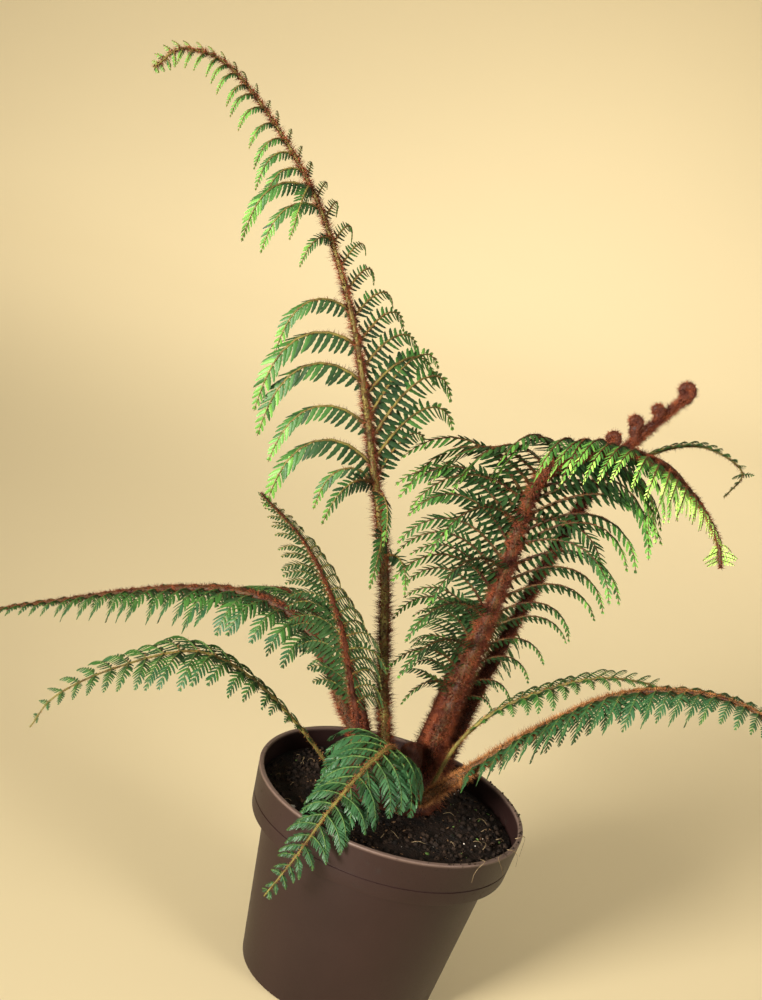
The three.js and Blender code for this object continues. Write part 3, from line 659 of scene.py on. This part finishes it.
def makeCoil(name, coil):  # a thick shoot that leaves the young stem and rolls up at its end
    low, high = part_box(name)
    centre = np.array((low + high) / 2)
    outer = (high.z - low.z) / 2 * coil["grow"]
    up = np.cross(coilRight, coilAxis)
    up = up * np.sign(up[2])
    t = np.linspace(0, 1, coilSteps["curl"])
    reach = (outer - coil["thick"] / 1000 * 0.8) * (1 - 0.8 * t)
    turn = np.radians(coil["start"]) + t * coil["turns"] * 2 * math.pi
    curl = centre + (np.cos(turn)[:, None] * coilRight + np.sin(turn)[:, None] * up) * reach[:, None]
    foot = along(youngFrond, coil["foot"])[0][0]
    neck = np.linspace(0, 1, coilSteps["neck"], endpoint=False)[:, None]
    spots = np.vstack([foot + (curl[0] - foot) * neck, curl])
    thick = coil["thick"] / 1000 * np.concatenate([np.full(coilSteps["neck"], 1.0), 1 - 0.6 * t])
    shape = tubePattern(coilSteps["rings"], coilSteps["sides"])
    across = np.tile(coilAxis, (len(spots), 1))
    lift = unit(np.cross(across, unit(np.gradient(spots, axis=0))))
    bumps = np.array([1 + 0.2 * noise.noise(Vector((3 * x, 3 * y, 26 * z))) for x, y, z in shape[0]])
    body = Sheaf()
    body.add(tubeOn(shape, spots, across, thick * 0.8, bumps), shape[1])
    body.piece(name + "_crozier", stalks["russet"], "stipe", [name])

    count = coil["hairs"]
    pick = (dice.random(count) * (len(spots) - 1)).astype(int)
    around = dice.random(count)[:, None] * 2 * math.pi
    radial = np.cos(around) * coilAxis + np.sin(around) * lift[pick]
    roots = spots[pick] + radial * thick[pick][:, None] * coilHair["root"]
    ways = unit(radial + dice.normal(0, coilHair["spread"], (count, 3)))
    bends = dice.normal(0, coilHair["curl"], (count, 3))
    lengths = dice.uniform(*coilHair["long"], count) / 1000
    tufts = Sheaf()
    tufts.add(bristles(roots, ways, bends, lengths, coilHair["thick"]), hairShape[1])
    tufts.piece(name + "_hairs", hairTints["red"], "scales", [name])


for coilName, coil in coils.items():
    makeCoil("young_frond_" + coilName, coil)
print("croziers coiled")


# the hairy crown, a dome that stands on the soil, and the stub of an old frond
lumps = {
    "crown_base": {"dome": True, "hairs": 2600, "long": 5.5, "rough": 0.1, "tint": "red"},
    "old_stipe_stub": {"dome": False, "hairs": 700, "long": 3.0, "rough": 0.08, "tint": "maroon"},
}
lumpHair = {"spread": 0.45, "curl": 0.25, "long": (0.5, 1.1), "thick": 0.00017, "sunk": 0.0005}


def makeLump(name, lump):
    low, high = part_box(name)
    centre, half = (low + high) / 2, (high - low) / 2
    bm = bmesh.new()
    bmesh.ops.create_icosphere(bm, subdivisions=5, radius=1)
    for v in bm.verts:
        grain = 1 + lump["rough"] * (noise.noise(v.co * 3.1) + 0.5 * noise.noise(v.co * 9))
        v.co = v.co * grain * 0.95
        if lump["dome"]:
            v.co.z = -0.98 if v.co.z < -0.2 else v.co.z * 1.6 - 0.66
        v.co = centre + v.co * half
    bmesh.ops.remove_doubles(bm, verts=bm.verts, dist=0.00002)
    bmesh.ops.recalc_face_normals(bm, faces=bm.faces)
    bm.normal_update()
    seats = [(v.co.copy(), v.normal.copy()) for v in bm.verts if v.co.z > low.z + 0.002]
    settle(name + "_body", meshOf(name, bm), stalks["russet"], [name])

    count = lump["hairs"]
    picks = dice.integers(0, len(seats), count)
    roots, normals = [np.array([seats[k][part][:] for k in picks]) for part in (0, 1)]
    ways = unit(normals + dice.normal(0, lumpHair["spread"], (count, 3)))
    bends = dice.normal(0, lumpHair["curl"], (count, 3))
    lengths = lump["long"] / 1000 * dice.uniform(*lumpHair["long"], count)
    tufts = Sheaf()
    roots = roots - normals * lumpHair["sunk"]
    tufts.add(bristles(roots, ways, bends, lengths, lumpHair["thick"]), hairShape[1])
    tufts.piece(name + "_hairs", hairTints[lump["tint"]], "scales", [name])


for lumpName, lump in lumps.items():
    makeLump(lumpName, lump)
print("crown and stub made")


# the pot, in millimetres: a turned wall with a collar, a groove, a rounded lip and six drain holes
pot = {"base": 69, "neck": 82.5, "collarFoot": 113.5, "collarLow": 92, "rim": 95, "height": 146,
       "wall": 1.6, "floor": 2, "lip": 3.4, "lipDeep": 3, "groove": 123.5, "grooveDeep": 0.6,
       "holes": 6, "holeRadius": 5, "holeRing": 50, "drill": 8, "drillAt": 1, "segments": 144,
       "sharpFrom": 35}


def potFinish():
    finish = Finish("potPlastic", {"Specular IOR Level": 0.36})
    height = finish.node("ShaderNodeSeparateXYZ", {}, {0: finish.place}, 2)
    cloud = finish.speckle(scale=14, detail=4)
    grain = finish.speckle(scale=850, detail=2)
    specks = finish.between(finish.speckle(scale=210, detail=5), 0.62, 0.7)
    dirt = specks * finish.between(height, 0.095, 0.15)
    # the lip is painted a light brown, a painted highlight where the top of the rounded rim catches the
    # light
    lip = finish.between(height, 0.1435, 0.1456)
    cloudy = finish.between(cloud, 0.3, 0.7)
    body = finish.blend(cloudy, (0.0145, 0.0052, 0.0043), (0.0215, 0.0085, 0.0070))
    lipHighlighted = finish.blend(lip * 0.8, body, (0.170, 0.112, 0.088))
    finish.feed("Base Color", finish.blend(dirt * 0.55, lipHighlighted, (0.016, 0.009, 0.006)))
    finish.feed("Roughness", 0.36 + 0.16 * cloud + 0.12 * grain + 0.2 * dirt)
    finish.relief(grain + 0.5 * cloud, strength=0.12, depth=0.0004)
    return finish.material


def collarAt(z):  # the collar's outer radius at a height
    low, foot = pot["collarLow"], pot["collarFoot"]
    return low + (pot["rim"] - low) * (z - foot) / (pot["height"] - foot)


def potProfile():  # from the foot's middle, up the outside, over the lip and down to the floor's middle
    base, neck, low, rim = pot["base"], pot["neck"], pot["collarLow"], pot["rim"]
    foot, top, floor = pot["collarFoot"], pot["height"], pot["floor"]
    groove, deep, wall, inside = pot["groove"], pot["grooveDeep"], pot["wall"], pot["rim"] - pot["lip"]
    return [(0, 0), (base - 2, 0), (base - 0.6, 0.5), (base, 2), (neck - 0.3, foot - 2), (neck, foot),
            (neck + 1, foot + 0.2), (low - 1, foot - 0.2), (low - 0.2, foot + 0.2),
            (low + 0.1, foot + 1.2), (collarAt(groove), groove),
            (collarAt(groove) - deep, groove + 0.35), (collarAt(groove) - deep, groove + 0.75),
            (collarAt(groove + 1.1), groove + 1.1),
            (rim - 0.15, top - 1.6), (rim, top - 1), (rim - 0.3, top - 0.25), (rim - 1, top),
            (inside + 0.6, top), (inside, top - 0.6), (inside, top - pot["lipDeep"]),
            (collarAt(foot) - wall, foot + wall), (neck - wall, foot + wall),
            (base + (neck - base) * floor / foot - wall, floor), (0, floor)]


def turned(profile, segments):  # a closed body turned from places (radius, height) in metres
    bm = bmesh.new()
    corners = [bm.verts.new((x, 0, z)) for x, z in profile]
    edges = [bm.edges.new(pair) for pair in zip(corners, corners[1:])]
    bmesh.ops.spin(bm, geom=corners + edges, cent=(0, 0, 0), axis=(0, 0, 1), angle=2 * math.pi,
                   steps=segments, use_merge=True)
    bmesh.ops.remove_doubles(bm, verts=bm.verts, dist=0.00001)
    return bm


def drillHoles(piece):
    bm = bmesh.new()
    radius, ring = pot["holeRadius"] / 1000, pot["holeRing"] / 1000
    for i in range(pot["holes"]):
        turn = i / pot["holes"] * 2 * math.pi
        spot = Matrix.Translation((ring * math.cos(turn), ring * math.sin(turn), pot["drillAt"] / 1000))
        bmesh.ops.create_cone(bm, cap_ends=True, segments=28, radius1=radius, radius2=radius,
                              depth=pot["drill"] / 1000, matrix=spot)
    cutter = linked("drill", meshOf("drill", bm))
    cut = piece.modifiers.new("drain", "BOOLEAN")
    cut.operation, cut.object, cut.solver = "DIFFERENCE", cutter, "EXACT"
    graph = bpy.context.evaluated_depsgraph_get()
    done = bpy.data.meshes.new_from_object(piece.evaluated_get(graph))
    piece.modifiers.clear()
    piece.data = done
    bpy.data.objects.remove(cutter)


def makePot():
    bm = turned([(x / 1000, z / 1000) for x, z in potProfile()], pot["segments"])
    bmesh.ops.recalc_face_normals(bm, faces=bm.faces)
    piece = settle("nursery_pot", meshOf("nursery_pot", bm), potFinish(), ["pot"])
    drillHoles(piece)
    smooth(piece.data)
    piece.data.set_sharp_from_angle(angle=math.radians(pot["sharpFrom"]))


makePot()
print("pot turned")


# the soil, in millimetres, with crumbs, grit, a pebble and bits of straw
soil = {"top": 134, "swell": 4, "shoulder": 55, "edge": 90, "seam": 130, "segments": 150,
        "under": [(0, 2.3), (66, 2.3), (80.5, 115.4), (90, 115.4), (90.2, 130)]}


def soilHeight(x, y):
    r = math.hypot(x, y) * 1000
    edge = max(0, (r - soil["shoulder"]) / (soil["edge"] - soil["shoulder"]))
    rough = 1.3 * noise.noise(Vector((x * 42, y * 42, 2)))
    rough += 0.8 * noise.noise(Vector((x * 130, y * 130, 5)))
    return (soil["top"] + 1 - soil["swell"] * edge ** 1.3 + rough * (1 - 0.4 * edge)) / 1000


def soilFinish(name, dark, light):
    finish = Finish(name, {"Specular IOR Level": 0.25})
    clods = finish.speckle(scale=150, detail=6)
    finish.feed("Base Color", finish.blend(finish.between(clods, 0.35, 0.75), dark, light))
    finish.feed("Roughness", 0.75 + 0.25 * clods)
    finish.relief(finish.speckle(scale=420, detail=8), strength=1.0, depth=0.0022)
    return finish.material


def makeSoil():
    low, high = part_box("soil")
    widest = (high.x - low.x) / 2
    over = [(r, soil["seam"]) for r in [*np.linspace(89.4, 1.5, 40), 0]]
    bm = turned([(min(x / 1000, widest), z / 1000) for x, z in soil["under"] + over], soil["segments"])
    for v in bm.verts:
        if v.co.z > (soil["seam"] - 0.5) / 1000:
            v.co.z = soilHeight(v.co.x, v.co.y)
    bmesh.ops.recalc_face_normals(bm, faces=bm.faces)
    finish = soilFinish("soilDark", (0.005, 0.003, 0.002), (0.030, 0.016, 0.010))
    settle("potting_soil", meshOf("potting_soil", bm), finish, ["soil"])


def stonePattern(level):
    bm = bmesh.new()
    bmesh.ops.create_icosphere(bm, subdivisions=level, radius=1)
    for v in bm.verts:
        v.co *= 1 + 0.35 * noise.noise(v.co * 1.7)
    return pattern(bm)


crown = {"x": -0.004, "y": 0.018, "clear": 0.03}  # no litter this close to the crown
litter = {
    "soil_crumbs": {"count": 1700, "sizes": (0.5, 2.6), "squash": (1, 0.8, 0.7),
                    "finish": soilFinish("crumbDark", (0.006, 0.004, 0.003), (0.045, 0.025, 0.014))},
    "bark_chips": {"count": 190, "sizes": (0.35, 1.5), "squash": (1.5, 0.6, 0.4),
                   "finish": soilFinish("barkChip", (0.090, 0.045, 0.020), (0.260, 0.150, 0.075))},
    "green_bits": {"count": 60, "sizes": (0.5, 1.5), "squash": (1.3, 0.8, 0.3),
                   "finish": leafFinish("mossBit", (0.050, 0.110, 0.020), (0.120, 0.200, 0.040), 0.6)},
    "grit_and_pebble": {"count": 34, "sizes": (0.35, 1.1), "squash": (1, 0.9, 0.8),
                        "finish": soilFinish("perlite", (0.420, 0.380, 0.310), (0.720, 0.680, 0.600))},
}
pebble = {"x": -0.062, "y": -0.047, "turn": 0.5, "size": (3.9, 2.0, 1.5)}


def scatter(kind, shape):  # bits set at random on the soil, turned any way
    corners, faces = shape
    rows = []
    while len(rows) < kind["count"]:
        turn, r = dice.random() * 2 * math.pi, 0.0875 * math.sqrt(dice.random())
        x, y = r * math.cos(turn), r * math.sin(turn)
        if math.hypot(x - crown["x"], y - crown["y"]) < crown["clear"]:
            continue
        size = ramp(kind["sizes"], dice.random() ** 3)
        spin = np.array(Matrix.Rotation(dice.random() * 6.3, 3, Vector(dice.normal(0, 1, 3))))
        seat = np.array([x, y, soilHeight(x, y) + 0.00025 * size])
        rows.append((corners * size * np.array(kind["squash"])) @ spin.T / 1000 + seat)
    heap = Sheaf()
    heap.add(np.array(rows), faces)
    return heap


def addPebble(heap):
    corners, faces = stonePattern(3)
    x, y = pebble["x"], pebble["y"]
    spin = np.array(Matrix.Rotation(pebble["turn"], 3, "Z"))
    seat = (x, y, soilHeight(x, y) + 0.001)
    heap.add(((corners * pebble["size"]) @ spin.T / 1000 + seat)[None], faces)


# crumbs on the pot's lip, from one turn to another, in millimetres
lipCrumbs = {"count": 34, "turns": (-1.3, 0.9), "ring": (92.2, 94.6), "sizes": (0.3, 0.9),
             "height": 146.1}


def makeLipCrumbs(shape):
    corners, faces = shape
    count = lipCrumbs["count"]
    around = dice.uniform(*lipCrumbs["turns"], count)
    ring = dice.uniform(*lipCrumbs["ring"], count) / 1000
    sizes = dice.uniform(*lipCrumbs["sizes"], count) / 1000
    height = lipCrumbs["height"] / 1000 + sizes * 0.4
    seats = np.stack([ring * np.cos(around), ring * np.sin(around), height], 1)
    heap = Sheaf()
    heap.add(seats[:, None] + corners[None] * sizes[:, None, None], faces)
    heap.piece("rim_crumbs", litter["soil_crumbs"]["finish"], "soil", [])


twig = {"straws": 30, "ring": 0.084, "long": (3, 12), "furthest": 0.089, "thick": (0.00028, 0.00012),
        "rootlets": (-0.75, -0.5, -0.32, -0.1), "rootThick": (0.0003, 0.0001), "knots": 9}
twigShape = tubePattern(8, 4)


def addTwig(heap, spots, thick):
    side = unit(np.cross(unit(np.gradient(spots, axis=0)), upwards))
    heap.add(tubeOn(twigShape, spots, side, np.linspace(*thick, len(spots))), twigShape[1])


def makeStraws():
    heap = Sheaf()
    t = np.linspace(0, 1, twig["knots"])
    for _ in range(twig["straws"]):
        turn, r = dice.random() * 2 * math.pi, twig["ring"] * math.sqrt(dice.random())
        x, y = r * math.cos(turn), r * math.sin(turn)
        way = dice.random() * 2 * math.pi + 0.7 * t
        long = dice.uniform(*twig["long"]) / 1000
        spots = np.stack([x + np.cos(way) * long * t, y + np.sin(way) * long * t, 0 * t], 1)
        furthest = np.hypot(spots[:, 0], spots[:, 1]).max()
        spots[:, :2] *= twig["furthest"] / max(twig["furthest"], furthest)  # it stays inside the pot
        arch = 0.0007 + 0.0022 * np.sin(3 * t)
        spots[:, 2] = arch + [soilHeight(*spot[:2]) for spot in spots]
        addTwig(heap, spots, twig["thick"])
    for turn in twig["rootlets"]:  # they hang over the lip
        reach = 0.0915 + 0.0065 * t ** 0.7 + 0.001 * np.sin(5 * t + turn * 9)
        way = turn + 0.05 * np.sin(4 * t + turn * 7)
        drop = 0.1466 + 0.0016 * np.sin(3 * t) - 0.013 * t ** 3
        addTwig(heap, np.stack([reach * np.cos(way), reach * np.sin(way), drop], 1), twig["rootThick"])
    straw = stalkFinish("straw", (0.120, 0.075, 0.035), (0.330, 0.240, 0.130), 1)
    heap.piece("straw_bits", straw, "soil", [])


def makeLitter():
    stone = stonePattern(1)
    for name, kind in litter.items():
        heap = scatter(kind, stone)
        if name == "grit_and_pebble":
            addPebble(heap)
        heap.piece(name, kind["finish"], "soil", [])
    makeLipCrumbs(stone)
    makeStraws()


makeSoil()
makeLitter()
print("soil filled")


# floor, light and camera
studio = {"floor": (0.86, 0.72, 0.44), "shades": (0.97, 1.02), "reach": 6.0, "rise": 4.0, "round": 1.6,
          "behind": 2.2, "steps": 16}


def makeStage():  # a paper floor that rises behind the plant in one curve
    finish = Finish("backdropPaper", {"Roughness": 0.9, "Specular IOR Level": 0.1})
    cloud = finish.speckle(scale=1.4, detail=2)
    low, high = [tuple(c * share for c in studio["floor"]) for share in studio["shades"]]
    finish.feed("Base Color", finish.blend(cloud, low, high))
    bm = bmesh.new()
    arc = [(math.sin(a) * studio["round"] + studio["behind"], studio["round"] * (1 - math.cos(a)))
           for a in np.linspace(0, math.pi / 2, studio["steps"])]
    line = [(-studio["reach"], 0)] + arc + [(arc[-1][0], studio["rise"])]
    row = [bm.verts.new((-studio["reach"], y, z)) for y, z in line]
    edges = [bm.edges.new(pair) for pair in zip(row, row[1:])]
    made = bmesh.ops.extrude_edge_only(bm, edges=edges)["geom"]
    bmesh.ops.translate(bm, vec=(2 * studio["reach"], 0, 0),
                        verts=[item for item in made if isinstance(item, bmesh.types.BMVert)])
    bmesh.ops.recalc_face_normals(bm, faces=bm.faces)
    floor = linked("backdrop", meshOf("backdrop", bm))
    smooth(floor.data)
    floor.data.materials.append(finish.material)


# angles in degrees; glow and wall light only the paper behind the plant
lamps = [
    {"name": "key", "kind": "AREA", "spot": (-1.25, -1.95, 0.78), "aim": (-0.02, 0.0, 0.56),
     "size": 0.7, "angle": 48, "watts": 15.5, "tint": (1.0, 0.95, 0.87)},
    {"name": "fill", "kind": "AREA", "spot": (2.1, -1.2, 1.2), "aim": (0.1, 0.0, 0.35), "size": 1.4,
     "angle": 48, "watts": 4, "tint": (1.0, 0.96, 0.90)},
    {"name": "glow", "kind": "SPOT", "spot": (0.6, 1.5, 2.6), "aim": (0.1, 2.0, 0.0), "size": 0.6,
     "angle": 84, "watts": 128, "tint": (1.0, 0.96, 0.90)},
    {"name": "wall", "kind": "SPOT", "spot": (-0.3, 0.9, 1.8), "aim": (-0.8, 3.4, 0.1), "size": 0.8,
     "angle": 84, "watts": 185, "tint": (1.0, 0.96, 0.90)},
]
air = {"Color": (1.0, 0.93, 0.80, 1), "Strength": 0.29}


def makeLamps():
    for lamp in lamps:
        light = bpy.data.lights.new(lamp["name"], lamp["kind"])
        light.energy, light.color = lamp["watts"], lamp["tint"]
        angle = math.radians(lamp["angle"])
        if lamp["kind"] == "AREA":
            light.size, light.spread = lamp["size"], angle
        else:
            light.shadow_soft_size, light.spot_size, light.spot_blend = lamp["size"], angle, 1
        holder = linked(lamp["name"], light)
        aim = Vector(lamp["aim"]) - Vector(lamp["spot"])
        turn = aim.to_track_quat("-Z", "Y").to_matrix().to_4x4()
        holder.matrix_world = Matrix.Translation(lamp["spot"]) @ turn
    world = bpy.data.worlds.new("studioAir")
    world.use_nodes = True
    for socket, value in air.items():
        world.node_tree.nodes["Background"].inputs[socket].default_value = value
    bpy.context.scene.world = world


view = {"spot": (0, -1.148, 0.677), "aim": (-0.066, 0, 0.344), "roll": 16.8, "lens": 64.8, "sensor": 36}


def makeCamera():
    lens = bpy.data.cameras.new("studioCamera")
    lens.lens, lens.sensor_width, lens.sensor_fit = view["lens"], view["sensor"], "AUTO"
    camera = linked("studioCamera", lens)
    ahead = (Vector(view["aim"]) - Vector(view["spot"])).normalized()
    right = ahead.cross(Vector((0, 0, 1))).normalized()
    up = right.cross(ahead)
    roll = math.radians(view["roll"])
    axisX = math.cos(roll) * right + math.sin(roll) * up
    axisY = math.cos(roll) * up - math.sin(roll) * right
    turn = Matrix((axisX, axisY, -ahead)).transposed()
    camera.matrix_world = Matrix.Translation(view["spot"]) @ turn.to_4x4()
    bpy.context.scene.camera = camera


makeStage()
makeLamps()
makeCamera()
bpy.context.scene.view_settings.view_transform = "Standard"
print("stage set")
